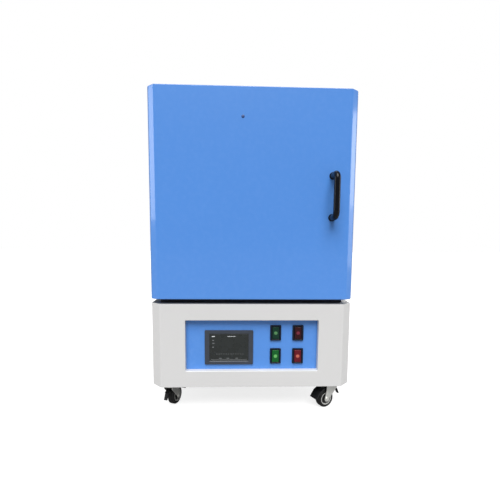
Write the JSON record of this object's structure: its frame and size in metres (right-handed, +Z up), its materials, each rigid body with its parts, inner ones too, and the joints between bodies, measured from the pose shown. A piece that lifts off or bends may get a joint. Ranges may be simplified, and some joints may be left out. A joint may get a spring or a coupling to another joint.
{
  "type": "muffle furnace",
  "caption": "Floor-standing box furnace: a side-hinged insulated door with a bent bar handle, on a control cabinet with touch panel and push buttons, rolling on swivel casters.",
  "frame": {"origin": "centre of the object's footprint, handle and gland included, on the floor under the casters", "axes": "+Z up; the door and the control panel face -Y; +X is to the right of someone who faces the door"},
  "size_m": [0.8, 0.887, 1.257],
  "materials": {
    "blue_paint": "satin",
    "white_paint": "satin",
    "dark_paint": "satin",
    "steel_sheet": "satin",
    "zinc": "satin",
    "black_enamel": "gloss",
    "black_plastic": "matte",
    "magnet": "matte",
    "screen_frame": "satin",
    "screen_glass": "gloss",
    "green_lens": "gloss",
    "red_lens": "gloss",
    "blue_plug": "gloss",
    "tyre": "matte",
    "fibre_board": "matte",
    "seal_rope": "matte",
    "hearth": "matte",
    "element": "matte",
    "clamp_ceramic": "matte",
    "strap": "satin",
    "core": "matte",
    "heat_sink": "satin"
  },
  "bodies": {
    "cabinet": {"outer_casing": "blue_paint", "top_cover": "blue_paint", "rear_cover": "blue_paint", "control_panel": "blue_paint", "base_shell": "white_paint", "base_top": "white_paint", "base_rear_panel": "white_paint", "plinth": "dark_paint", "base_frame": "steel_sheet", "base_floor": "steel_sheet", "inner_casing": "steel_sheet", "front_frame": "steel_sheet", "hinge_brackets": "zinc", "hinge_pins": "zinc", "cover_screws": "zinc", "caster_plates": "zinc", "fan_guard": "zinc", "button_frames": "black_plastic", "cable_gland": "black_plastic", "fan_housing": "black_plastic", "catch_magnets": "magnet", "screen_bezel": "screen_frame", "screen_glass": "screen_glass", "mouth_lining": "fibre_board", "floor_lining": "fibre_board", "side_linings": "fibre_board", "back_lining": "fibre_board", "roof_lining": "fibre_board", "door_seal": "seal_rope", "hearth_plate": "hearth", "heating_elements": "element", "element_clamps": "clamp_ceramic", "thermocouple": "clamp_ceramic", "element_straps": "strap", "transformer": "core", "power_controller": "heat_sink"},
    "door": {"door_shell": "blue_paint", "door_back_plate": "steel_sheet", "door_board": "fibre_board", "door_plug": "fibre_board", "door_handle": "black_enamel", "handle_feet": "black_enamel", "hinge_leaves": "zinc", "door_hole_plug": "blue_plug"},
    "green_upper": {"green_button_upper": "green_lens"},
    "green_lower": {"green_button_lower": "green_lens"},
    "red_upper": {"red_button_upper": "red_lens"},
    "red_lower": {"red_button_lower": "red_lens"},
    "fan": {"fan_rotor": "black_plastic"},
    "fork_fl": {"caster_fork_fl": "zinc"},
    "wheel_fl": {"caster_wheel_fl": "tyre"},
    "fork_fr": {"caster_fork_fr": "zinc"},
    "wheel_fr": {"caster_wheel_fr": "tyre"},
    "fork_rl": {"caster_fork_rl": "zinc"},
    "wheel_rl": {"caster_wheel_rl": "tyre"},
    "fork_rr": {"caster_fork_rr": "zinc"},
    "wheel_rr": {"caster_wheel_rr": "tyre"},
    "pedal_fl": {"caster_pedal_fl": "black_plastic"},
    "pedal_fr": {"caster_pedal_fr": "black_plastic"}
  },
  "joints": [
    {"name": "door_hinge", "type": "hinge", "parent": "cabinet", "child": "door", "pos_m": [-0.3832, -0.2823, 0.857], "axis": [0, 0, -1], "range_deg": [0, 110]},
    {"name": "green_upper_press", "type": "slide", "parent": "cabinet", "child": "green_upper", "axis": [0, 1, 0], "range_m": [0, 0.004], "stiffness_N_per_m": 500, "springref_m": -0.002},
    {"name": "green_lower_press", "type": "slide", "parent": "cabinet", "child": "green_lower", "axis": [0, 1, 0], "range_m": [0, 0.004], "stiffness_N_per_m": 500, "springref_m": -0.002},
    {"name": "red_upper_press", "type": "slide", "parent": "cabinet", "child": "red_upper", "axis": [0, 1, 0], "range_m": [0, 0.004], "stiffness_N_per_m": 500, "springref_m": -0.002},
    {"name": "red_lower_press", "type": "slide", "parent": "cabinet", "child": "red_lower", "axis": [0, 1, 0], "range_m": [0, 0.004], "stiffness_N_per_m": 500, "springref_m": -0.002},
    {"name": "fan_spin", "type": "hinge", "parent": "cabinet", "child": "fan", "pos_m": [0, 0.3995, 0.647], "axis": [0, 1, 0], "continuous": true},
    {"name": "swivel_fl", "type": "hinge", "parent": "cabinet", "child": "fork_fl", "pos_m": [-0.333, -0.3205, 0.095], "axis": [0, 0, 1], "continuous": true},
    {"name": "roll_fl", "type": "hinge", "parent": "fork_fl", "child": "wheel_fl", "pos_m": [-0.32274, -0.29231, 0.0375], "axis": [-0.9397, 0.342, 0], "continuous": true},
    {"name": "brake_fl", "type": "hinge", "parent": "fork_fl", "child": "pedal_fl", "pos_m": [-0.32479, -0.29795, 0.082], "axis": [-0.9397, 0.342, 0], "range_deg": [0, 12]},
    {"name": "swivel_fr", "type": "hinge", "parent": "cabinet", "child": "fork_fr", "pos_m": [0.333, -0.3205, 0.095], "axis": [0, 0, 1], "continuous": true},
    {"name": "roll_fr", "type": "hinge", "parent": "fork_fr", "child": "wheel_fr", "pos_m": [0.30581, -0.33318, 0.0375], "axis": [0.4226, -0.9063, 0], "continuous": true},
    {"name": "brake_fr", "type": "hinge", "parent": "fork_fr", "child": "pedal_fr", "pos_m": [0.31125, -0.33064, 0.082], "axis": [0.4226, -0.9063, 0], "range_deg": [0, 12]},
    {"name": "swivel_rl", "type": "hinge", "parent": "cabinet", "child": "fork_rl", "pos_m": [-0.333, 0.3595, 0.095], "axis": [0, 0, 1], "continuous": true},
    {"name": "roll_rl", "type": "hinge", "parent": "fork_rl", "child": "wheel_rl", "pos_m": [-0.318, 0.38548, 0.0375], "axis": [-0.866, 0.5, 0], "continuous": true},
    {"name": "swivel_rr", "type": "hinge", "parent": "cabinet", "child": "fork_rr", "pos_m": [0.333, 0.3595, 0.095], "axis": [0, 0, 1], "continuous": true},
    {"name": "roll_rr", "type": "hinge", "parent": "fork_rr", "child": "wheel_rr", "pos_m": [0.32274, 0.38769, 0.0375], "axis": [-0.9397, -0.342, 0], "continuous": true}
  ]
}
